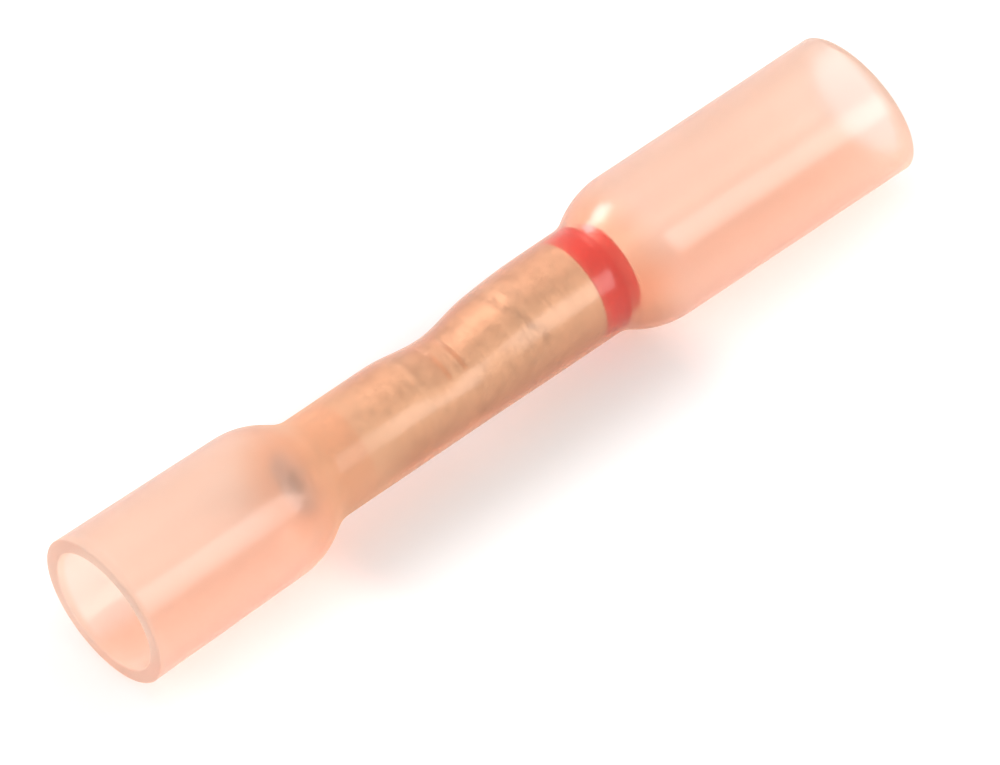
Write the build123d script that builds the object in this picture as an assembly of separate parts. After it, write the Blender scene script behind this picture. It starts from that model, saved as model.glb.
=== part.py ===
from build123d import *
import math
import os

# Step down butt connector, lying on its side as it comes to rest. Millimetres, +Z up.
# Its axis runs along X: the thin wire goes in at the -X mouth and the thick wire at the +X mouth.
# Every piece is drawn about the X axis with the pressed side of the barrel up, then all are laid down.

# Crimp barrel
narrow_barrel_diameter = 3.0
wide_barrel_diameter = 3.3
narrow_bore_diameter = 1.3
wide_bore_diameter = 1.8
narrow_half_length = 7.75        # from the wire stop to the end that takes the thin wire
wide_half_length = 7.0           # from the wire stop to the end that takes the thick wire
wide_half_rise = 0.12            # the wide half is swaged off centre, towards the pressed side
stop_position = -1.95            # the wire stop, measured from the middle of the sleeve
stop_press_depth = 0.26          # how far the stop is pressed into one side of the barrel
stop_floor_length = 1.0          # floor of the pressed waist
stop_lead_length = 1.1           # slope from the narrow half down to that floor
step_ramp_length = 3.1           # slope from that floor up to the wide half
stop_web_length = 1.2            # metal left between the two bores
stop_passage_diameter = 0.6      # what the press leaves open between the bores
stop_passage_drop = 0.3          # that opening lies this far off the axis, away from the pressed side
stop_groove_width = 0.2          # the press tool marks a fine groove at each end of the floor
stop_groove_depth = 0.08
barrel_edge_bevel = 0.1
bore_lead_in = 0.18

# Shrink sleeve
sleeve_length = 38.6
grip_clearance = 0.02            # between the sleeve and the barrel that it grips
neck_wall = 0.70                 # wall where the sleeve is shrunk on to the barrel
mouth_wall = 0.65                # wall of the flares and shoulders
flare_gap = 0.935                # room round the barrel's wide half inside the flare on its side
narrow_mouth_spread = 0.22       # the narrow side's mouth is this much wider across than that flare
narrow_flare_pinch = 0.13        # its flare starts this much narrower, where it meets its shoulder
narrow_neck_setback = 0.79       # the narrow neck's corner lies this far short of the barrel's end
wide_neck_overhang = 0.7         # the wide neck's corner lies this far past the barrel's end
shoulder_slope = 31.0            # degrees between a shoulder and the axis
narrow_shoulder_round = 3.6
wide_shoulder_round = 4.0
neck_round = 1.5
shoulder_share = 0.98            # the rounds take up no more of a shoulder than this
narrow_throat_length = 2.4       # before the narrow neck's corner the sleeve lets go of the barrel
narrow_throat_gap = 0.25         # and leaves this much room round it
waist_reach = 2.66               # the sleeve sinks into the waist over this length each side of the stop
sleeve_step_length = 5.3         # the sleeve bridges the barrel's ramp over this length
neck_circle_count = 7            # circles through which the waist and the step are drawn
narrow_mouth_slant = 2.2         # degrees, the mouths were cut a little off square
wide_mouth_slant = 5.2

# Colour ring
ring_length = 1.55
ring_clearance = 0.03
ring_wall = 0.59                 # from the ring's throat out to the sleeve
ring_lip_wall = 0.12             # wall left at the ring's thin outer lip

# How it lies
press_elevation = 29.5           # degrees, the pressed side leans this far above +Y
rest_flat_depth = 0.05           # each flare has given way this little where the sleeve lies on it

# Places along X and radii that follow from the sizes above
narrow_barrel_radius = narrow_barrel_diameter / 2
wide_barrel_radius = wide_barrel_diameter / 2
narrow_end = stop_position - narrow_half_length
wide_end = stop_position + wide_half_length
floor_start = stop_position - stop_floor_length / 2
floor_end = stop_position + stop_floor_length / 2
press_start = floor_start - stop_lead_length
ramp_end = floor_end + step_ramp_length
waist_start = stop_position - waist_reach
step_end = stop_position + sleeve_step_length
narrow_grip_radius = narrow_barrel_radius + grip_clearance
wide_grip_radius = wide_barrel_radius + grip_clearance
narrow_neck_radius = narrow_grip_radius + neck_wall
wide_neck_radius = wide_grip_radius + neck_wall
narrow_corner = -narrow_end - narrow_neck_setback
wide_corner = wide_end + wide_neck_overhang
narrow_grip_end = narrow_corner - narrow_throat_length
flare_radius = wide_barrel_radius + flare_gap + mouth_wall
narrow_mouth_radius = flare_radius + narrow_mouth_spread / 2
narrow_flare_radius = flare_radius - narrow_flare_pinch / 2
half_length = sleeve_length / 2
slope = math.tan(math.radians(shoulder_slope))
shoulder_drop = mouth_wall / math.cos(math.radians(shoulder_slope))
round_reach = math.tan(math.radians(shoulder_slope / 2))
past_face = 0.5                  # cutters run this far past the faces that they cut

# The sleeve's two sides. Along each, distances run outwards from the sleeve's middle.
# Past the barrel, the wide side leans from the wide half's raised axis back to the sleeve's axis at its mouth.
wide_side_lean = math.degrees(math.atan(wide_half_rise / (half_length - wide_end)))
narrow_side = Rot(0, 0, 180)
wide_side = Pos(wide_end, 0, wide_half_rise) * Rot(0, wide_side_lean, 0) * Pos(-wide_end, 0, 0)


def section(x, top, bottom):
    # a circle across the axis, from top above the axis to bottom below it
    plane = Plane(origin=(x, 0, (top - bottom) / 2), x_dir=(0, 1, 0), z_dir=(1, 0, 0))
    return plane * Circle((top + bottom) / 2)


def ease(share):
    # runs smoothly from 0 to 1
    share = min(max(share, 0.0), 1.0)
    return share * share * (3 - 2 * share)


def dip(distance, reach):
    # 1 at the middle of a smooth dip, and 0 from its reach outwards
    return 0.5 * (1 + math.cos(math.pi * min(abs(distance) / reach, 1.0)))


def barrel_form(start, last_circle, growth):
    # the barrel's outside from start to its last circle, larger by growth all round
    pressed_top = narrow_barrel_radius - stop_press_depth
    raised_top = wide_barrel_radius + wide_half_rise
    raised_bottom = wide_barrel_radius - wide_half_rise
    stations = [
        (start, narrow_barrel_radius, narrow_barrel_radius),
        (press_start, narrow_barrel_radius, narrow_barrel_radius),
        (floor_start, pressed_top, narrow_barrel_radius),
        (floor_end, pressed_top, narrow_barrel_radius),
        (ramp_end, raised_top, raised_bottom),
    ]
    circles = [section(x, top + growth, bottom + growth) for x, top, bottom in stations]
    return loft([*circles, last_circle], ruled=True)


def bore(mouth, floor, radius, rise):
    # a blind bore with a lead-in at its mouth
    inwards = math.copysign(1.0, floor - mouth)
    outside = mouth - inwards * past_face
    points = [
        (outside, 0),
        (floor, 0),
        (floor, radius),
        (mouth + inwards * bore_lead_in, radius),
        (mouth, radius + bore_lead_in),
        (outside, radius + bore_lead_in),
    ]
    outline = Polyline(*[(x, 0, height) for x, height in points], close=True)
    return Pos(0, 0, rise) * revolve(make_face(outline), Axis.X)


def stop_groove(x):
    # a groove round the pressed side of the barrel that runs out on its far side
    root_top = narrow_barrel_radius - stop_press_depth - stop_groove_depth
    root = section(x, root_top, narrow_barrel_radius + stop_groove_depth)
    blank = section(x, wide_barrel_diameter, wide_barrel_diameter)
    return extrude(blank - root, stop_groove_width / 2, both=True)


def make_crimp_barrel():
    end_circle = Pos(0, 0, wide_half_rise) * section(wide_end, wide_barrel_radius, wide_barrel_radius)
    barrel = barrel_form(narrow_end, end_circle, 0)
    ends = barrel.faces().filter_by(Axis.X).sort_by(Axis.X)
    barrel = chamfer([ends[0].edges()[0], ends[-1].edges()[0]], barrel_edge_bevel)
    barrel -= stop_groove(floor_start + stop_groove_width / 2)
    barrel -= stop_groove(floor_end - stop_groove_width / 2)
    barrel -= bore(narrow_end, stop_position - stop_web_length / 2, narrow_bore_diameter / 2, 0)
    barrel -= bore(wide_end, stop_position + stop_web_length / 2, wide_bore_diameter / 2, wide_half_rise)
    passage_plane = Plane(origin=(stop_position, 0, -stop_passage_drop), z_dir=(1, 0, 0))
    passage = passage_plane * Circle(stop_passage_diameter / 2)
    return barrel - extrude(passage, stop_web_length, both=True)


def flared(start, start_radius, corner, corner_radius, shoulder_radius, mouth_radius, rounds):
    # one side of the sleeve: a neck from start to its corner, a sloped shoulder, and the flare to the mouth
    shoulder = corner + (shoulder_radius - corner_radius) / slope
    taper = (mouth_radius - shoulder_radius) / (half_length - shoulder)
    past_mouth = half_length + past_face
    shoulder_length = math.hypot(shoulder - corner, shoulder_radius - corner_radius)
    fit = min(1.0, shoulder_share * shoulder_length / (round_reach * sum(rounds)))
    points = [
        (start, 0),
        (start, start_radius),
        (corner, corner_radius),
        (shoulder, shoulder_radius),
        (past_mouth, mouth_radius + taper * past_face),
        (past_mouth, 0),
    ]
    corners = [(x, 0, radius) for x, radius in points]
    outline = FilletPolyline(*corners, radius=[0, 0, *[fit * r for r in rounds], 0, 0], close=True)
    return revolve(make_face(outline), Axis.X)


def neck_section(x):
    # the sleeve's outside round the barrel: its pressed side follows the waist and the step
    step = ease((x - stop_position) / sleeve_step_length)
    sink = stop_press_depth * dip(x - stop_position, waist_reach)
    top_gain = (wide_neck_radius + wide_half_rise - narrow_neck_radius) * step
    bottom_gain = (wide_neck_radius - wide_half_rise - narrow_neck_radius) * step
    return section(x, narrow_neck_radius + top_gain - sink, narrow_neck_radius + bottom_gain)


def sleeve_outside():
    pitch = (step_end - waist_start) / (neck_circle_count - 1)
    circles = [neck_section(waist_start + pitch * i) for i in range(neck_circle_count)]
    end_circle = wide_side * section(wide_end, wide_neck_radius, wide_neck_radius)
    neck = loft(circles) + loft([circles[-1], end_circle], ruled=True)
    narrow = flared(
        -waist_start,
        narrow_neck_radius,
        narrow_corner,
        narrow_neck_radius,
        narrow_flare_radius,
        narrow_mouth_radius,
        [neck_round, narrow_shoulder_round],
    )
    wide = flared(
        wide_end,
        wide_neck_radius,
        wide_corner,
        wide_neck_radius,
        flare_radius,
        flare_radius,
        [neck_round, wide_shoulder_round],
    )
    return neck + narrow_side * narrow + wide_side * wide


def inner_corner(outer_corner, inner_radius, outer_radius):
    # where a shoulder's inner face, one wall inside its outer face, reaches the throat
    return outer_corner + (inner_radius + shoulder_drop - outer_radius) / slope


def sleeve_inside():
    throat_radius = narrow_grip_radius + narrow_throat_gap
    end_circle = wide_side * section(wide_end, wide_grip_radius, wide_grip_radius)
    grip = barrel_form(-narrow_grip_end, end_circle, grip_clearance)
    narrow = flared(
        narrow_grip_end,
        narrow_grip_radius,
        inner_corner(narrow_corner, throat_radius, narrow_neck_radius),
        throat_radius,
        narrow_flare_radius - mouth_wall,
        narrow_mouth_radius - mouth_wall,
        [0, narrow_shoulder_round - mouth_wall],
    )
    wide = flared(
        wide_end,
        wide_grip_radius,
        inner_corner(wide_corner, wide_grip_radius, wide_neck_radius),
        wide_grip_radius,
        flare_radius - mouth_wall,
        flare_radius - mouth_wall,
        [0, wide_shoulder_round - mouth_wall],
    )
    return grip + narrow_side * narrow + wide_side * wide


def mouth_plane(x, slant, outwards):
    # across the axis at x, facing outwards; both mouths lean the same way
    lean = math.radians(slant)
    return Plane(origin=(x, 0, 0), z_dir=(outwards * math.cos(lean), 0, outwards * math.sin(lean)))


def make_shrink_sleeve():
    sleeve = sleeve_outside() - sleeve_inside()
    sleeve = split(sleeve, bisect_by=mouth_plane(-half_length, narrow_mouth_slant, -1), keep=Keep.BOTTOM)
    return split(sleeve, bisect_by=mouth_plane(half_length, wide_mouth_slant, 1), keep=Keep.BOTTOM)


def make_colour_ring():
    # a ring against the barrel's wide end: its outside follows the sleeve's throat and shoulder
    back = wide_end + ring_clearance
    front = back + ring_length
    outer_start = wide_grip_radius - ring_clearance
    corner = inner_corner(wide_corner, wide_grip_radius, wide_neck_radius)
    outer_front = outer_start + (front - corner) * slope
    points = [
        (back, outer_start - ring_wall),
        (back, outer_start),
        (corner, outer_start),
        (front, outer_front),
        (front, outer_front - ring_lip_wall),
    ]
    outline = Polyline(*[(x, 0, height) for x, height in points], close=True)
    return wide_side * revolve(make_face(outline), Axis.X)


def laid_down(solid):
    # turned so that the pressed side leans as it does at rest, then set down on both mouths
    height = (narrow_mouth_radius + flare_radius) / 2 - rest_flat_depth
    tilt = math.degrees(math.atan((narrow_mouth_radius - flare_radius) / sleeve_length))
    return Pos(0, 0, height) * Rot(0, tilt, 0) * Rot(press_elevation - 90, 0, 0) * solid


def flattened(solid):
    # what would reach below the surface that it lies on is taken off
    return split(solid, bisect_by=Plane.XY, keep=Keep.TOP)


parts = {
    "shrink_sleeve": flattened(laid_down(make_shrink_sleeve())),
    "crimp_barrel": laid_down(make_crimp_barrel()),
    "colour_ring": laid_down(make_colour_ring()),
}
os.makedirs("parts", exist_ok=True)
for name, piece in parts.items():
    export_step(piece, f"parts/{name}.step")
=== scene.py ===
import math
import bpy
from mathutils import Matrix, Vector, noise


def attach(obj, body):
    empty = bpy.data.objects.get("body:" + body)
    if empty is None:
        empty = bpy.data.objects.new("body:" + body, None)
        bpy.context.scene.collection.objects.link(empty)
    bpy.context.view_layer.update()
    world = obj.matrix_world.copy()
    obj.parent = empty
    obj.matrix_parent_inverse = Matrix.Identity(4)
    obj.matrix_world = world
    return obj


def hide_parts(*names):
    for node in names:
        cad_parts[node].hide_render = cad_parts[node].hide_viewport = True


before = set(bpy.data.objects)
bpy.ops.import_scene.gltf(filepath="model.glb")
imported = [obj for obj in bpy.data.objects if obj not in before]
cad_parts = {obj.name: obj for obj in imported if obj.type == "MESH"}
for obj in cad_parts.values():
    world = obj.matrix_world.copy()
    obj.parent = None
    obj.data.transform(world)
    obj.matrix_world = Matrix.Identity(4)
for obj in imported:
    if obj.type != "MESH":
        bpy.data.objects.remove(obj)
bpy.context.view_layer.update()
print("frame loaded")

mm = 0.001
cloudSpan = (0.3, 0.7)           # between these lie most of a noise's values

# How the connector lies, as the solids do. It is drawn upright about the X axis in millimetres.
lie = {
    "pressElevation": 29.5,      # degrees, the barrel's pressed side leans this far above +Y
    "narrowMouthRadius": 3.345,
    "wideMouthRadius": 3.235,
    "sleeveLength": 38.6,
    "restFlat": 0.05,
}


def axisHeight():
    return (lie["narrowMouthRadius"] + lie["wideMouthRadius"]) / 2 - lie["restFlat"]


def lieMatrix():
    # from upright millimetres to metres as it lies
    tilt = math.atan((lie["narrowMouthRadius"] - lie["wideMouthRadius"]) / lie["sleeveLength"])
    turn = Matrix.Rotation(math.radians(lie["pressElevation"] - 90), 4, "X")
    lean = Matrix.Rotation(tilt, 4, "Y")
    return Matrix.Scale(mm, 4) @ Matrix.Translation((0, 0, axisHeight())) @ lean @ turn


def newMaterial(name):
    material = bpy.data.materials.new(name)
    material.use_nodes = True
    tree = material.node_tree
    tree.nodes.clear()
    return material, tree, tree.nodes.new("ShaderNodeOutputMaterial")


def addNode(tree, kind, **settings):
    node = tree.nodes.new(kind)
    for key, value in settings.items():
        if key in node.inputs:
            node.inputs[key].default_value = value
        else:
            setattr(node, key, value)
    return node


def addRamp(tree, factor, stops):
    # two stops, each as (place, colour)
    ramp = tree.nodes.new("ShaderNodeValToRGB")
    for element, (place, colour) in zip(ramp.color_ramp.elements, stops):
        element.position = place
        element.color = (*colour, 1)
    tree.links.new(factor, ramp.inputs["Fac"])
    return ramp.outputs["Color"]


def mapRange(tree, value, fromMin, fromMax, toMin, toMax, smooth=False):
    node = tree.nodes.new("ShaderNodeMapRange")
    node.interpolation_type = "SMOOTHSTEP" if smooth else "LINEAR"
    node.inputs["From Min"].default_value = fromMin
    node.inputs["From Max"].default_value = fromMax
    node.inputs["To Min"].default_value = toMin
    node.inputs["To Max"].default_value = toMax
    tree.links.new(value, node.inputs["Value"])
    return node.outputs["Result"]


def maths(tree, operation, first, second=None):
    node = tree.nodes.new("ShaderNodeMath")
    node.operation = operation
    for socket, value in zip(node.inputs, (first, second)):
        if value is None:
            continue
        if isinstance(value, (int, float)):
            socket.default_value = value
        else:
            tree.links.new(value, socket)
    return node.outputs["Value"]


def addUp(tree, *values):
    total = values[0]
    for value in values[1:]:
        total = maths(tree, "ADD", total, value)
    return total


def blendShaders(tree, share, first, second):
    # the second shader's share is a plain number or a node's output
    node = tree.nodes.new("ShaderNodeMixShader")
    if isinstance(share, float):
        node.inputs["Fac"].default_value = share
    else:
        tree.links.new(share, node.inputs["Fac"])
    tree.links.new(first, node.inputs[1])
    tree.links.new(second, node.inputs[2])
    return node.outputs["Shader"]


def mixColour(tree, factor, first, second):
    # a node's output or a plain colour on each side
    node = tree.nodes.new("ShaderNodeMix")
    node.data_type = "RGBA"
    tree.links.new(factor, node.inputs["Factor"])
    for name, value in (("A", first), ("B", second)):
        socket = next(s for s in node.inputs if s.name == name and s.type == "RGBA")
        if isinstance(value, tuple):
            socket.default_value = (*value, 1)
        else:
            tree.links.new(value, socket)
    return next(s for s in node.outputs if s.type == "RGBA")


def cloudOf(tree, vector, scale, detail=3.0):
    cloud = addNode(tree, "ShaderNodeTexNoise", Scale=scale, Detail=detail)
    tree.links.new(vector, cloud.inputs["Vector"])
    return cloud.outputs["Fac"]


def ringFaces(rows, around, outward):
    # faces of a closed tube whose points lie row by row, the last row joined to the first
    faces = []
    for i in range(rows):
        for j in range(around):
            k, nextRow = (j + 1) % around, (i + 1) % rows
            corners = (i * around + j, nextRow * around + j, nextRow * around + k, i * around + k)
            faces.append(corners if outward else (corners[0], corners[3], corners[2], corners[1]))
    return faces


def addPiece(name, verts, faces):
    mesh = bpy.data.meshes.new(name)
    mesh.from_pydata(verts, [], faces)
    mesh.polygons.foreach_set("use_smooth", [True] * len(faces))
    mesh.update()
    piece = bpy.data.objects.new(name, mesh)
    bpy.context.scene.collection.objects.link(piece)
    return piece


# The shrink sleeve, in the solids' sizes
sleeve = {
    "contact": 0.01,             # its grip sinks this far into the metal, so that the two look wetted
    "neckWall": 0.72,            # from the metal's surface
    "mouthWall": 0.65,
    "narrowFlareRadius": 3.17,
    "shoulderSlope": 31.0,       # degrees
    "narrowShoulderRound": 3.6,
    "wideShoulderRound": 4.0,
    "neckRound": 1.5,
    "innerNeckRound": 0.6,
    "narrowCorner": 8.91,        # from the middle to where a neck turns into its shoulder
    "wideCorner": 5.75,
    "throatLength": 2.4,         # the sleeve has let go of the barrel's narrow end over this length
    "throatGap": 0.27,
    "waistReach": 2.66,
    "stepLength": 5.3,
    "narrowSlant": -2.2,         # degrees, how far each mouth is cut off square
    "wideSlant": 5.2,
    "rimRound": 0.09,
    "rimRoom": 0.01,             # circles nearer than this to the rim's round are left out
    "seamRoom": 0.05,            # and nearer than this to the start of the grip
    "rimSteps": 6,
    "faceParts": 4,              # the cut face is this many strips wide
    "around": 160,
    "pitch": 0.28,
    "roundPitch": 0.35,          # the pitch is this much finer in the rounds
    "neckCircles": 48,
    "unevenness": 0.012,
    "unevenAlong": 0.35,         # how fast it changes along and around
    "unevenAround": 1.1,
}
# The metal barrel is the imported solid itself. These sizes are for what follows it.
barrel = {
    "narrowEnd": -9.70,
    "narrowRadius": 1.5,
    "wideRadius": 1.65,
    "rise": 0.12,                # the wide half's axis lies this far towards the pressed side
    "pressDepth": 0.26,
    "stop": -1.95,               # middle of the pressed wire stop
    "wideEnd": 5.05,
    "floorLength": 1.0,
    "leadLength": 1.1,
    "rampLength": 3.1,           # from the press floor up to the wide half
}


def roundedLine(points, rounds, pitch):
    # points along a line in (x, radius) whose inner corners are rounded
    made = [Vector(points[0])]
    for i in range(1, len(points) - 1):
        before, corner, after = (Vector(points[k]) for k in (i - 1, i, i + 1))
        radius = rounds[i - 1]
        inDir = (corner - before).normalized()
        outDir = (after - corner).normalized()
        turn = inDir.angle(outDir, 0)
        if radius <= 0 or turn < 1e-4:
            made.append(corner)
            continue
        start = corner - inDir * radius * math.tan(turn / 2)
        side = 1 if inDir.x * outDir.y - inDir.y * outDir.x > 0 else -1
        centre = start + Vector((-inDir.y, inDir.x)) * radius * side
        steps = max(6, int(radius * turn / (pitch * sleeve["roundPitch"])))
        for k in range(steps + 1):
            made.append(centre + Matrix.Rotation(turn * k / steps * side, 2) @ (start - centre))
    made.append(Vector(points[-1]))
    line = [made[0]]
    for a, b in zip(made, made[1:]):
        parts = max(1, math.ceil((b - a).length / pitch))
        line += [a.lerp(b, k / parts) for k in range(1, parts + 1)]
    return line


def ease(share):
    share = min(max(share, 0.0), 1.0)
    return share * share * (3 - 2 * share)


def flareLine(start, startRadius, corner, cornerRadius, shoulderRadius, mouthRadius, rounds):
    # line of one side in (x, radius) from the neck to the mouth, and the place where its shoulder ends
    slope = math.tan(math.radians(sleeve["shoulderSlope"]))
    shoulder = corner + (shoulderRadius - cornerRadius) / slope
    half = lie["sleeveLength"] / 2
    points = [(start, startRadius), (corner, cornerRadius), (shoulder, shoulderRadius), (half, mouthRadius)]
    return roundedLine(points, rounds, sleeve["pitch"]), shoulder


def innerCorner(outerCorner, innerRadius, outerRadius):
    # where the inside turns into the shoulder, so that the shoulder's wall is as thick as the mouth's
    slope = math.radians(sleeve["shoulderSlope"])
    drop = sleeve["mouthWall"] / math.cos(slope)
    return outerCorner + (innerRadius + drop - outerRadius) / math.tan(slope)


def wideLean():
    # the wide side leans from the wide half's raised axis back to the sleeve's axis at the mouth
    return math.atan(barrel["rise"] / (lie["sleeveLength"] / 2 - barrel["wideEnd"]))


def sideFrame(wide):
    # puts a side that is drawn towards +X in its place
    if not wide:
        return Matrix.Rotation(math.pi, 4, "Z")
    place = Matrix.Translation((barrel["wideEnd"], 0, barrel["rise"]))
    return place @ Matrix.Rotation(wideLean(), 4, "Y") @ Matrix.Translation((-barrel["wideEnd"], 0, 0))


def sideCircles(line, shoulder, wide):
    # circles of one side, each as (matrix, x, rise, radius, how far it leans)
    slant = math.radians(sleeve["wideSlant"]) + wideLean() if wide else math.radians(sleeve["narrowSlant"])
    half = lie["sleeveLength"] / 2
    circles = []
    for x, radius in line:
        share = min(max((x - shoulder) / (half - shoulder), 0), 1)
        circles.append((sideFrame(wide), x, 0.0, radius, share * math.tan(slant)))
    return circles


def rimCircles(outer, inner):
    # over the rim, from the last outer circle to the first inner one
    frameOf, x, _, outerRadius, slant = outer
    innerRadius, e = inner[3], sleeve["rimRound"]
    steps, parts = sleeve["rimSteps"], sleeve["faceParts"]
    turns = [math.pi / 2 * k / steps for k in range(steps + 1)]
    across = innerRadius + 2 * e - outerRadius
    line = [(x - e + e * math.sin(a), outerRadius - e + e * math.cos(a)) for a in turns[1:]]
    line += [(x, outerRadius - e + across * k / parts) for k in range(1, parts)]
    line += [(x - e + e * math.cos(a), innerRadius + e - e * math.sin(a)) for a in turns[:-1]]
    return [(frameOf, along, 0.0, radius, slant) for along, radius in line]


def neckCircle(x, top, bottom):
    # through a point on the pressed side and one across from it
    return (Matrix.Identity(4), x, (top - bottom) / 2, (top + bottom) / 2, 0.0)


def neckOutside(start, end):
    narrow = barrel["narrowRadius"] + sleeve["neckWall"]
    wide = barrel["wideRadius"] + sleeve["neckWall"]
    circles = []
    for i in range(1, sleeve["neckCircles"]):
        x = start + (end - start) * i / sleeve["neckCircles"]
        step = ease((x - barrel["stop"]) / sleeve["stepLength"])
        near = min(abs(x - barrel["stop"]) / sleeve["waistReach"], 1)
        sink = barrel["pressDepth"] * (1 + math.cos(math.pi * near)) / 2
        top = narrow + (wide + barrel["rise"] - narrow) * step - sink
        bottom = narrow + (wide - barrel["rise"] - narrow) * step
        circles.append(neckCircle(x, top, bottom))
    return circles


def neckInside(start, end):
    # the grip follows the barrel
    narrow = barrel["narrowRadius"] - sleeve["contact"]
    floorStart = barrel["stop"] - barrel["floorLength"] / 2
    floorEnd = barrel["stop"] + barrel["floorLength"] / 2
    pressed = narrow - barrel["pressDepth"]
    raised = barrel["wideRadius"] + barrel["rise"] - sleeve["contact"]
    low = barrel["wideRadius"] - barrel["rise"] - sleeve["contact"]
    stations = [
        (start, narrow, narrow),
        (floorStart - barrel["leadLength"], narrow, narrow),
        (floorStart, pressed, narrow),
        (floorEnd, pressed, narrow),
        (floorEnd + barrel["rampLength"], raised, low),
        (end, raised, low),
    ]
    circles = []
    for (xa, ta, ba), (xb, tb, bb) in zip(stations, stations[1:]):
        parts = max(2, math.ceil((xb - xa) / sleeve["pitch"]))
        for k in range(parts):
            x = xa + (xb - xa) * k / parts
            if x > start + sleeve["seamRoom"]:
                circles.append(neckCircle(x, ta + (tb - ta) * k / parts, ba + (bb - ba) * k / parts))
    return circles


def throatLine(line, gripEnd, corner):
    # the grip lets go softly instead of at a sharp edge
    reach = corner - gripEnd
    made = []
    for x, radius in line:
        share = (x - gripEnd) / reach
        if share < 1:
            radius += sleeve["throatGap"] * (share ** 2 - share)
        made.append(Vector((x, radius)))
    return made


def sleeveCircles():
    s, b = sleeve, barrel
    waistStart = b["stop"] - s["waistReach"]
    narrowNeck, wideNeck = b["narrowRadius"] + s["neckWall"], b["wideRadius"] + s["neckWall"]
    outNarrow, outNarrowShoulder = flareLine(
        -waistStart, narrowNeck, s["narrowCorner"], narrowNeck, s["narrowFlareRadius"],
        lie["narrowMouthRadius"], [s["neckRound"], s["narrowShoulderRound"]])
    outWide, outWideShoulder = flareLine(
        b["wideEnd"], wideNeck, s["wideCorner"], wideNeck, lie["wideMouthRadius"],
        lie["wideMouthRadius"], [s["neckRound"], s["wideShoulderRound"]])
    gripNarrow, gripWide = b["narrowRadius"] - s["contact"], b["wideRadius"] - s["contact"]
    gripEnd = s["narrowCorner"] - s["throatLength"]
    throat = gripNarrow + s["throatGap"]
    throatCorner = innerCorner(s["narrowCorner"], throat, narrowNeck)
    inNarrow, inNarrowShoulder = flareLine(
        gripEnd, gripNarrow, throatCorner, throat, s["narrowFlareRadius"] - s["mouthWall"],
        lie["narrowMouthRadius"] - s["mouthWall"],
        [s["innerNeckRound"], s["narrowShoulderRound"] - s["mouthWall"]])
    inWide, inWideShoulder = flareLine(
        b["wideEnd"], gripWide, innerCorner(s["wideCorner"], gripWide, wideNeck), gripWide,
        lie["wideMouthRadius"] - s["mouthWall"], lie["wideMouthRadius"] - s["mouthWall"],
        [s["innerNeckRound"], s["wideShoulderRound"] - s["mouthWall"]])
    outer = sideCircles(outNarrow, outNarrowShoulder, False)[::-1]
    outer += neckOutside(waistStart, b["wideEnd"])
    outer += sideCircles(outWide, outWideShoulder, True)
    inner = sideCircles(inWide, inWideShoulder, True)[::-1]
    inner += neckInside(-gripEnd, b["wideEnd"])[::-1]
    inner += sideCircles(throatLine(inNarrow, gripEnd, throatCorner), inNarrowShoulder, False)
    reach = lie["sleeveLength"] / 2 - s["rimRound"] - s["rimRoom"]
    wideRim = rimCircles(outer[-1], inner[0])
    narrowRim = rimCircles(outer[0], inner[-1])
    kept = [c for c in outer if abs(c[1]) < reach]
    keptInner = [c for c in inner if abs(c[1]) < reach]
    return kept + wideRim + keptInner + narrowRim[::-1], len(kept)


def uneven(x, angle):
    # a soft tube is never quite even: between 0 and 1, the same each time
    pace = sleeve["unevenAround"]
    value = noise.noise(Vector((x * sleeve["unevenAlong"], math.cos(angle) * pace, math.sin(angle) * pace)))
    return 0.5 + 0.5 * max(-1, min(1, value))


def buildSleeve():
    circles, outerCount = sleeveCircles()
    around = sleeve["around"]
    lay = lieMatrix()
    verts = []
    for index, (place, x, rise, radius, slant) in enumerate(circles):
        mirror = -1 if place[0][0] < -0.5 else 1
        for j in range(around):
            angle = 2 * math.pi * j / around
            reach = radius
            if index < outerCount:
                reach -= sleeve["unevenness"] * uneven(mirror * x, angle)
            y, z = reach * math.cos(angle), rise + reach * math.sin(angle)
            point = lay @ (place @ Vector((x - slant * z, y * mirror, z)))
            point.z = max(point.z, 0.0)
            verts.append(point)
    tube = addPiece("shrinkTube", verts, ringFaces(len(circles), around, outward=False))
    print("sleeve mesh", len(verts), "points")
    return tube


tube = buildSleeve()

sleeveLook = {
    "tint": (1.0, 0.99, 0.975),
    "tintDip": 0.985,            # the share of the tint that is left in its darkest clouds
    "tintClouds": 260.0,
    "absorb": (0.931, 0.385, 0.0),   # this colour passes through the wall, the rest is taken out by depth
    "absorbDensity": 330.0,
    "roughness": 0.32,
    "roughSpread": 0.03,         # up and down with the clouds
    "ior": 1.33,
    "coat": 0.7,
    "coatRoughness": 0.17,
    "milk": (1.0, 0.84, 0.72),   # the cloudy part of the wall, mixed with the clear part
    "milkThrough": 0.5,          # the share of the milk that glows through instead of back
    "milkShare": 0.12,
    "mostMilk": 0.85,
    "shade": (0.985, 0.93, 0.94),
    "neckMilk": (1.0, 0.76, 0.53),
    "neckTint": (1.0, 0.78, 0.63),
    "neckFrom": -9.4,            # the shrunk wall is a deeper orange between these places
    "neckTo": 6.2,
    "neckFade": 2.0,
    "throatMilk": 0.40,          # and milkier where it has let go of the barrel
    "throatFrom": -9.0,
    "throatTo": -7.2,
    "throatFade": 2.2,
    "ringMilk": -0.09,           # and clearer over the ring
    "ringFrom": 5.0,
    "ringTo": 6.5,
    "ringFade": 0.4,
    "cutMilk": 0.5,              # the cut faces of the mouths are milkier too
    "cutFrom": 18.9,
    "cutFade": 0.3,
    "rimMilk": 0.45,             # milk gathers where the wall is seen at a slant
    "rimPower": 4.0,
}


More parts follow.
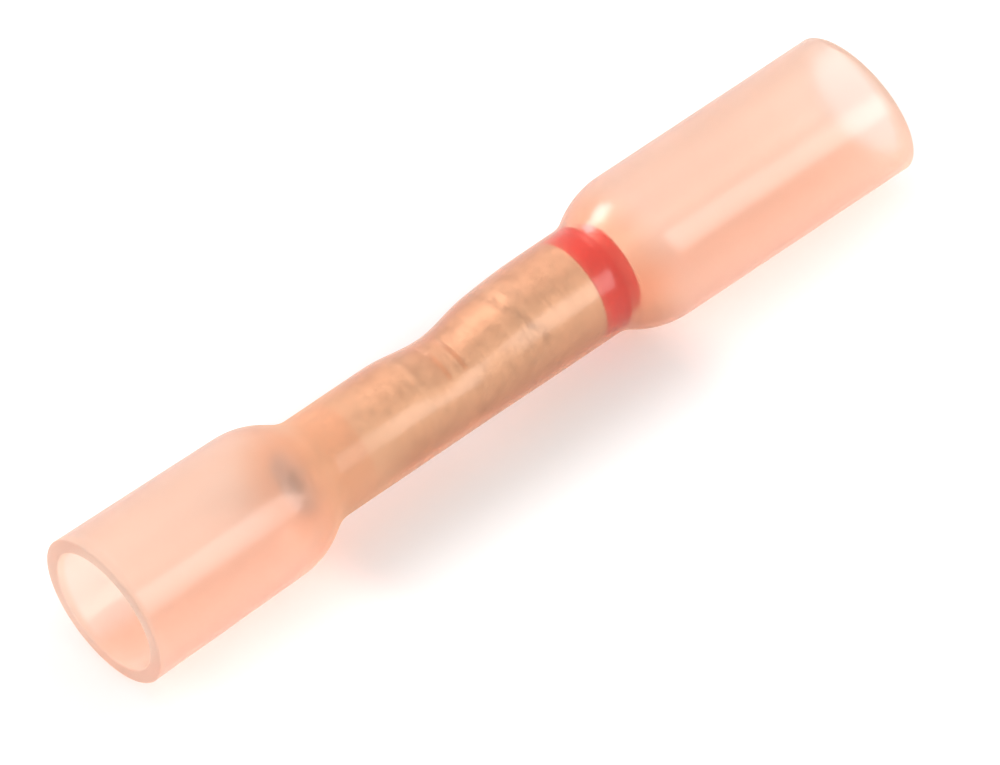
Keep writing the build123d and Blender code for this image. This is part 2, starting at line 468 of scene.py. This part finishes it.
def zoneAt(tree, along, start, end, fade):
    # 1 between two places along the connector, falling to 0 over fade past each
    rise = mapRange(tree, along, (start - fade) * mm, start * mm, 0.0, 1.0, smooth=True)
    fall = mapRange(tree, along, end * mm, (end + fade) * mm, 1.0, 0.0, smooth=True)
    return maths(tree, "MULTIPLY", rise, fall)


def makeSleeveMaterial():
    look = sleeveLook
    material, tree, out = newMaterial("peachTube")
    shader = addNode(tree, "ShaderNodeBsdfPrincipled")
    shader.inputs["IOR"].default_value = look["ior"]
    shader.inputs["Transmission Weight"].default_value = 1.0
    shader.inputs["Coat Weight"].default_value = look["coat"]
    shader.inputs["Coat Roughness"].default_value = look["coatRoughness"]
    place = addNode(tree, "ShaderNodeTexCoord").outputs["Object"]
    cloud = cloudOf(tree, place, look["tintClouds"])
    split = addNode(tree, "ShaderNodeSeparateXYZ")
    tree.links.new(place, split.inputs["Vector"])
    along = split.outputs["X"]
    neck = zoneAt(tree, along, look["neckFrom"], look["neckTo"], look["neckFade"])
    throat = zoneAt(tree, along, look["throatFrom"], look["throatTo"], look["throatFade"])
    overRing = zoneAt(tree, along, look["ringFrom"], look["ringTo"], look["ringFade"])
    cutStart, cutEnd = look["cutFrom"] * mm, (look["cutFrom"] + look["cutFade"]) * mm
    cut = mapRange(tree, maths(tree, "ABSOLUTE", along), cutStart, cutEnd, 0.0, look["cutMilk"], smooth=True)
    tint = look["tint"]
    dipped = tuple(look["tintDip"] * t for t in tint)
    colour = addRamp(tree, cloud, zip(cloudSpan, (tint, dipped)))
    colour = mixColour(tree, neck, colour, look["neckTint"])
    tree.links.new(colour, shader.inputs["Base Color"])
    smoothest, roughest = look["roughness"] - look["roughSpread"], look["roughness"] + look["roughSpread"]
    rough = mapRange(tree, cloud, *cloudSpan, smoothest, roughest)
    tree.links.new(rough, shader.inputs["Roughness"])
    milkColour = mixColour(tree, neck, look["milk"], look["neckMilk"])
    skin = addNode(tree, "ShaderNodeBsdfDiffuse")
    tree.links.new(milkColour, skin.inputs["Color"])
    glow = addNode(tree, "ShaderNodeBsdfTranslucent")
    tree.links.new(milkColour, glow.inputs["Color"])
    milk = blendShaders(tree, look["milkThrough"], skin.outputs["BSDF"], glow.outputs["BSDF"])
    slant = addNode(tree, "ShaderNodeLayerWeight", Blend=0.5)
    atRim = maths(tree, "POWER", slant.outputs["Facing"], look["rimPower"])
    share = addUp(
        tree, maths(tree, "MULTIPLY", throat, look["throatMilk"]), look["milkShare"], cut,
        maths(tree, "MULTIPLY", atRim, look["rimMilk"]), maths(tree, "MULTIPLY", overRing, look["ringMilk"]))
    share = maths(tree, "MINIMUM", share, look["mostMilk"])
    whole = blendShaders(tree, share, shader.outputs["BSDF"], milk)
    # a lamp's light goes through with a light tint
    through = addNode(tree, "ShaderNodeBsdfTransparent", Color=(*look["shade"], 1))
    path = addNode(tree, "ShaderNodeLightPath")
    lit = blendShaders(tree, path.outputs["Is Shadow Ray"], whole, through.outputs["BSDF"])
    tree.links.new(lit, out.inputs["Surface"])
    volume = addNode(tree, "ShaderNodeVolumeAbsorption", Density=look["absorbDensity"])
    volume.inputs["Color"].default_value = (*look["absorb"], 1)
    tree.links.new(volume.outputs["Volume"], out.inputs["Volume"])
    return material


barrelLook = {
    "light": (0.80, 0.72, 0.59),
    "dark": (0.64, 0.56, 0.44),
    # the dark colour of the painted shade at the pressed dimple's edges, of the ragged band and of the spots
    "mark": (0.30, 0.24, 0.17),
    # the colour of the painted highlight on the ramp
    "highlightColour": (0.93, 0.86, 0.74),
    "mottleClouds": 2200.0,
    "mottleSpan": (0.38, 0.60),  # dark below the first and light above the second
    "turnedClouds": 1400.0,      # fine marks drawn out around the barrel
    "turnedStretch": (6.0, 0.5, 0.5),
    "turnedShare": 0.4,
    "bump": 0.4,
    "bumpDepth": 0.02,
    "endFace": (0.62, 0.60, 0.60),
    "endDepth": 0.08,
    "endFade": 0.04,
    "boreLight": (0.90, 0.88, 0.87),   # painted light: the bore's mouth is painted lighter than the end face round it, against the shade deep in the bore
    "boreDepth": 0.9,
    "boreRadius": 0.75,
    "roughness": (0.50, 0.60),
    "pressSide": (0.870, 0.492),  # Y and Z of the direction in which the pressed side faces
    # painted shade along the edges of the pressed dimple, each as (place along, half width, strength)
    "pressLines": [(-3.50, 0.20, 0.14), (-2.45, 0.16, 0.14), (-2.10, 0.16, 0.20), (-1.50, 0.18, 0.20)],
    "pressFrom": 1.2,            # heights towards the pressed side between which they appear
    "pressTo": 2.4,
    "wobble": 0.5,               # the lines wander this far
    "wobbleClouds": 700.0,
    "crease": (2.19, 0.46, 0.50),
    "creaseSlope": 0.35,         # it leans along the barrel towards the pressed side
    "creaseFrom": 0.3,
    "creaseTo": 1.0,
    "creaseBreaks": (2600.0, 0.40, 0.56, 0.25),   # clouds, from, to and least strength
    "creaseWobble": 0.7,
    "highlightBand": (0.10, 0.50, 0.15),   # painted highlight: the ramp is painted lighter on its side towards the press, where it faces the lamps behind
    "highlightFrom": 1.9,
    "highlightTo": 2.7,
    "spots": 0.22,               # and faintly spotted
    "spotClouds": (1900.0, 0.46, 0.70),   # clouds, from, to
    "spotsFrom": -1.2,
    "spotsTo": 1.8,
    "spotsFade": 0.8,
}


def heightRange(tree, towardsPress, start, end, most):
    # 0 below one height towards the pressed side, rising to most at another
    return mapRange(tree, towardsPress, start * mm, end * mm, 0.0, most, smooth=True)


def bandAt(tree, along, middle, width):
    # 1 at the middle of a band across the barrel, falling to 0 at its width
    off = maths(tree, "ABSOLUTE", maths(tree, "SUBTRACT", along, middle * mm))
    return mapRange(tree, off, 0.0, width * mm, 1.0, 0.0, smooth=True)


def wander(tree, place, along, wobble, detail):
    # the place along the barrel, pushed to and fro by noise so that a band across it looks ragged
    drift = maths(tree, "SUBTRACT", cloudOf(tree, place, barrelLook["wobbleClouds"], detail), 0.5)
    return maths(tree, "ADD", along, maths(tree, "MULTIPLY", drift, wobble * mm))


def addMarks(tree, place, along, towardsPress):
    # how much each place is darkened, from 0 to 1: painted shade along the pressed dimple's edges, a ragged
    # dark band across the barrel and faint spots
    look = barrelLook
    wandering = wander(tree, place, along, look["wobble"], detail=2.0)
    marks = None
    # painted shade where the pressed dimple's slopes turn
    for middle, width, strength in look["pressLines"]:
        line = maths(tree, "MULTIPLY", bandAt(tree, wandering, middle, width), strength)
        marks = line if marks is None else maths(tree, "MAXIMUM", marks, line)
    onPressed = heightRange(tree, towardsPress, look["pressFrom"], look["pressTo"], 1.0)
    marks = maths(tree, "MULTIPLY", marks, onPressed)
    middle, width, strength = look["crease"]
    wandering = wander(tree, place, along, look["creaseWobble"], detail=4.0)
    wandering = maths(tree, "ADD", wandering, maths(tree, "MULTIPLY", towardsPress, look["creaseSlope"]))
    onCrease = heightRange(tree, towardsPress, look["creaseFrom"], look["creaseTo"], strength)
    crease = maths(tree, "MULTIPLY", bandAt(tree, wandering, middle, width), onCrease)
    clouds, start, end, least = look["creaseBreaks"]
    broken = mapRange(tree, cloudOf(tree, place, clouds, detail=2.0), start, end, least, 1.0, smooth=True)
    marks = maths(tree, "MAXIMUM", marks, maths(tree, "MULTIPLY", crease, broken))
    clouds, start, end = look["spotClouds"]
    spots = cloudOf(tree, place, clouds, detail=4.0)
    spots = mapRange(tree, spots, start, end, 0.0, look["spots"], smooth=True)
    spotted = zoneAt(tree, along, look["spotsFrom"], look["spotsTo"], look["spotsFade"])
    return maths(tree, "MAXIMUM", marks, maths(tree, "MULTIPLY", spots, spotted))


def nearEnd(tree, along, depth):
    # 1 from the barrel's narrow end to this depth
    reach = barrel["narrowEnd"] + depth
    return mapRange(tree, along, (reach - barrelLook["endFade"]) * mm, reach * mm, 1.0, 0.0)


def makeBarrelMaterial():
    look = barrelLook
    material, tree, out = newMaterial("tinnedCopper")
    shader = addNode(tree, "ShaderNodeBsdfPrincipled")
    shader.inputs["Metallic"].default_value = 1.0
    place = addNode(tree, "ShaderNodeTexCoord").outputs["Object"]
    split = addNode(tree, "ShaderNodeSeparateXYZ")
    tree.links.new(place, split.inputs["Vector"])
    along = split.outputs["X"]
    cloud = cloudOf(tree, place, look["mottleClouds"])
    stretch = addNode(tree, "ShaderNodeMapping", Scale=look["turnedStretch"])
    tree.links.new(place, stretch.inputs["Vector"])
    turned = cloudOf(tree, stretch.outputs["Vector"], look["turnedClouds"])
    mottle = maths(tree, "ADD", maths(tree, "MULTIPLY", cloud, 1.0 - look["turnedShare"]),
                   maths(tree, "MULTIPLY", turned, look["turnedShare"]))
    colour = addRamp(tree, mottle, zip(look["mottleSpan"], (look["dark"], look["light"])))
    towardsPress = maths(tree, "ADD", maths(tree, "MULTIPLY", split.outputs["Y"], look["pressSide"][0]),
                         maths(tree, "MULTIPLY", split.outputs["Z"], look["pressSide"][1]))
    # painted highlight on the ramp, towards the pressed side
    middle, width, strength = look["highlightBand"]
    highlighted = heightRange(tree, towardsPress, look["highlightFrom"], look["highlightTo"], strength)
    highlighted = maths(tree, "MULTIPLY", bandAt(tree, along, middle, width), highlighted)
    colour = mixColour(tree, highlighted, colour, look["highlightColour"])
    colour = mixColour(tree, addMarks(tree, place, along, towardsPress), colour, look["mark"])
    above = maths(tree, "SUBTRACT", split.outputs["Z"], axisHeight() * mm)
    fromAxis = maths(tree, "ADD", maths(tree, "POWER", split.outputs["Y"], 2.0),
                     maths(tree, "POWER", above, 2.0))
    # painted light on the bore's wall near its mouth, where shade falls
    litBore = maths(tree, "LESS_THAN", fromAxis, (look["boreRadius"] * mm) ** 2)
    litBore = maths(tree, "MULTIPLY", litBore, nearEnd(tree, along, look["boreDepth"]))
    colour = mixColour(tree, nearEnd(tree, along, look["endDepth"]), colour, look["endFace"])
    colour = mixColour(tree, litBore, colour, look["boreLight"])
    tree.links.new(colour, shader.inputs["Base Color"])
    rough = mapRange(tree, cloud, *cloudSpan, *look["roughness"])
    tree.links.new(rough, shader.inputs["Roughness"])
    bump = addNode(tree, "ShaderNodeBump", Strength=look["bump"], Distance=look["bumpDepth"] * mm)
    tree.links.new(mottle, bump.inputs["Height"])
    tree.links.new(bump.outputs["Normal"], shader.inputs["Normal"])
    tree.links.new(shader.outputs["BSDF"], out.inputs["Surface"])
    return material


# The colour ring, a hair larger than the solid so that it looks wetted by the sleeve
ring = {
    "back": 5.08,
    "front": 6.62,
    "radius": 1.66,
    "wall": 0.58,
    "skirtBack": 4.82,           # a thin skirt laps over the end of the barrel
    "skirtWall": 0.03,
    "lipFrom": 5.95,             # from here on its lip draws away from the sleeve
    "lipDrop": 0.30,
    "lipWall": 0.10,
    "around": 96,
    "pitch": 0.05,
    "underParts": 6,
}
ringLook = {
    "clouds": 500.0,
    "roughness": 0.4,
    "light": (0.88, 0.035, 0.01),
    "dark": (0.78, 0.025, 0.005),
}


def ringOutline():
    # closed line in (x, radius), its outside in contact with the sleeve
    r, slope = ring, math.tan(math.radians(sleeve["shoulderSlope"]))
    wide = barrel["wideRadius"]
    corner = innerCorner(sleeve["wideCorner"], wide, wide + sleeve["neckWall"])
    end = (r["front"], r["radius"] + (r["front"] - corner) * slope)
    points = [(r["skirtBack"], r["radius"]), (corner, r["radius"]), end]
    line = []
    for x, radius in roundedLine(points, [sleeve["innerNeckRound"]], r["pitch"]):
        share = max(x - r["lipFrom"], 0) / (r["front"] - r["lipFrom"])
        line.append((x, radius - r["lipDrop"] * share ** 2))
    tip = line[-1][1]
    under = [
        (r["front"], tip - r["lipWall"]),
        (r["back"], r["radius"] - r["wall"]),
        (r["back"], r["radius"] - r["skirtWall"]),
        (r["skirtBack"], r["radius"] - r["skirtWall"]),
    ]
    for (xa, ra), (xb, rb) in zip(under, under[1:]):
        shares = [k / r["underParts"] for k in range(r["underParts"])]
        line += [(xa + (xb - xa) * share, ra + (rb - ra) * share) for share in shares]
    return line + [under[-1]]


def buildRing():
    lay, around = lieMatrix(), ring["around"]
    line = ringOutline()
    verts = []
    for x, radius in line:
        for j in range(around):
            angle = 2 * math.pi * j / around
            point = Vector((x, radius * math.cos(angle), radius * math.sin(angle)))
            verts.append(lay @ (sideFrame(True) @ point))
    return addPiece("colourBand", verts, ringFaces(len(line), around, outward=True))


def makeRingMaterial():
    material, tree, out = newMaterial("redRing")
    shader = addNode(tree, "ShaderNodeBsdfPrincipled")
    place = addNode(tree, "ShaderNodeTexCoord").outputs["Object"]
    cloud = cloudOf(tree, place, ringLook["clouds"], detail=2.0)
    colour = addRamp(tree, cloud, zip(cloudSpan, (ringLook["light"], ringLook["dark"])))
    tree.links.new(colour, shader.inputs["Base Color"])
    shader.inputs["Roughness"].default_value = ringLook["roughness"]
    tree.links.new(shader.outputs["BSDF"], out.inputs["Surface"])
    return material


def dress(piece, material):
    piece.data.materials.clear()
    piece.data.materials.append(material)


dress(tube, makeSleeveMaterial())
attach(tube, "root")
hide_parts("shrink_sleeve")
dress(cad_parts["crimp_barrel"], makeBarrelMaterial())
band = buildRing()
dress(band, makeRingMaterial())
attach(band, "root")
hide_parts("colour_ring")
print("materials made")

# In millimetres, but the camera's and the lamps' distances and sizes are in metres
studio = {
    "floorColour": (0.92, 0.91, 0.90),
    "floorLift": 0.10,           # white the floor shows where it is seen directly, painted lighter away from the connector so that its shadow fades there
    "farLift": 0.36,
    "farShape": (0.12, 1.0, 1.0),   # distance counts this much along X, Y and Z
    "farFrom": 3.0,
    "farTo": 7.0,
    "glossyLift": 0.3,
    "floorDrop": 0.02,
    "floorReach": 600.0,
    "worldColour": (1.0, 1.0, 1.0),
    "worldStrength": 0.80,
    "azimuth": 40.2,
    "elevation": 53.4,
    "distance": 0.8,             # of the camera
    "aimHeight": 3.25,           # the camera aims here above the middle, moved right and down in its view
    "aimRight": 0.662,
    "aimDown": 1.061,
    "nearest": 0.05,             # what the camera can see, in metres
    "farthest": 5.0,
    "sensor": 36.0,
    "pictureWidth": 1000,
    "pixelsPerMillimetre": 25.53,
}
# Each lamp: direction from the connector, distance, width, height, watts, colour
lamps = {
    "backLamp": ((-0.1, 0.75, 0.9), 0.45, 0.42, 0.36, 0.12, (1.0, 1.0, 1.0)),
    "sideLamp": ((0.385, -0.702, 0.599), 0.40, 0.10, 0.24, 0.24, (1.0, 1.0, 1.0)),
    "spotLamp": ((-0.229, 0.797, 0.560), 0.45, 0.16, 0.15, 0.66, (1.0, 0.90, 0.96)),
}


def seenDirectly(tree, glossyShare):
    # 1 for rays that show the background, also mirrored or through the sleeve, 0 after a diffuse bounce
    path = addNode(tree, "ShaderNodeLightPath")
    seen = maths(tree, "MAXIMUM", path.outputs["Is Camera Ray"], path.outputs["Is Transmission Ray"])
    mirrored = maths(tree, "MULTIPLY", path.outputs["Is Glossy Ray"], glossyShare)
    unscattered = maths(tree, "LESS_THAN", path.outputs["Diffuse Depth"], 0.5)
    return maths(tree, "MULTIPLY", maths(tree, "MAXIMUM", seen, mirrored), unscattered)


def makeFloor():
    drop, reach = -studio["floorDrop"] * mm, studio["floorReach"] * mm
    corners = [(-reach, -reach, drop), (reach, -reach, drop), (reach, reach, drop), (-reach, reach, drop)]
    floor = addPiece("floor", corners, [(0, 1, 2, 3)])
    material, tree, out = newMaterial("paleFloor")
    shader = addNode(tree, "ShaderNodeBsdfDiffuse", Color=(*studio["floorColour"], 1))
    glow = addNode(tree, "ShaderNodeEmission")
    shape = addNode(tree, "ShaderNodeMapping", Scale=studio["farShape"])
    tree.links.new(addNode(tree, "ShaderNodeNewGeometry").outputs["Position"], shape.inputs["Vector"])
    away = addNode(tree, "ShaderNodeVectorMath", operation="LENGTH")
    tree.links.new(shape.outputs["Vector"], away.inputs[0])
    # painted light: more of this white away from the connector fades the far part of its shadow
    lift = mapRange(tree, away.outputs["Value"], studio["farFrom"] * mm, studio["farTo"] * mm,
                    studio["floorLift"], studio["farLift"], smooth=True)
    white = maths(tree, "MULTIPLY", seenDirectly(tree, studio["glossyLift"]), lift)
    tree.links.new(white, glow.inputs["Strength"])
    both = addNode(tree, "ShaderNodeAddShader")
    tree.links.new(shader.outputs["BSDF"], both.inputs[0])
    tree.links.new(glow.outputs["Emission"], both.inputs[1])
    tree.links.new(both.outputs["Shader"], out.inputs["Surface"])
    floor.data.materials.append(material)


def addLamp(name, direction, distance, width, height, power, colour):
    light = bpy.data.lights.new(name, "AREA")
    light.shape = "RECTANGLE"
    light.size, light.size_y = width, height
    light.energy = power
    light.color = colour
    lamp = bpy.data.objects.new(name, light)
    towards = Vector(direction).normalized()
    lamp.location = towards * distance
    lamp.rotation_mode = "QUATERNION"
    lamp.rotation_quaternion = (-towards).to_track_quat("-Z", "Y")
    bpy.context.scene.collection.objects.link(lamp)


def makeLight():
    world = bpy.data.worlds.new("studio")
    world.use_nodes = True
    tree = world.node_tree
    back = tree.nodes["Background"]
    back.inputs["Color"].default_value = (*studio["worldColour"], 1)
    strength = mapRange(tree, seenDirectly(tree, 1.0), 0.0, 1.0, studio["worldStrength"], 1.0)
    tree.links.new(strength, back.inputs["Strength"])
    bpy.context.scene.world = world
    for name, settings in lamps.items():
        addLamp(name, *settings)


def makeCamera():
    azimuth, elevation = math.radians(studio["azimuth"]), math.radians(studio["elevation"])
    flat = math.cos(elevation)
    look = Vector((math.sin(azimuth) * flat, math.cos(azimuth) * flat, -math.sin(elevation)))
    right = Vector((math.cos(azimuth), -math.sin(azimuth), 0))
    up = right.cross(look)
    aim = Vector((0, 0, studio["aimHeight"])) + right * studio["aimRight"] - up * studio["aimDown"]
    data = bpy.data.cameras.new("camera")
    data.sensor_width = studio["sensor"]
    wide = studio["pictureWidth"] / studio["pixelsPerMillimetre"] * mm   # seen at the connector's distance
    data.lens = studio["sensor"] * studio["distance"] / wide
    data.clip_start, data.clip_end = studio["nearest"], studio["farthest"]
    camera = bpy.data.objects.new("camera", data)
    camera.location = aim * mm - look * studio["distance"]
    camera.rotation_mode = "QUATERNION"
    camera.rotation_quaternion = look.to_track_quat("-Z", "Y")
    bpy.context.scene.collection.objects.link(camera)
    bpy.context.scene.camera = camera


makeFloor()
makeLight()
makeCamera()
bpy.context.scene.view_settings.view_transform = "Standard"
print("stage set")
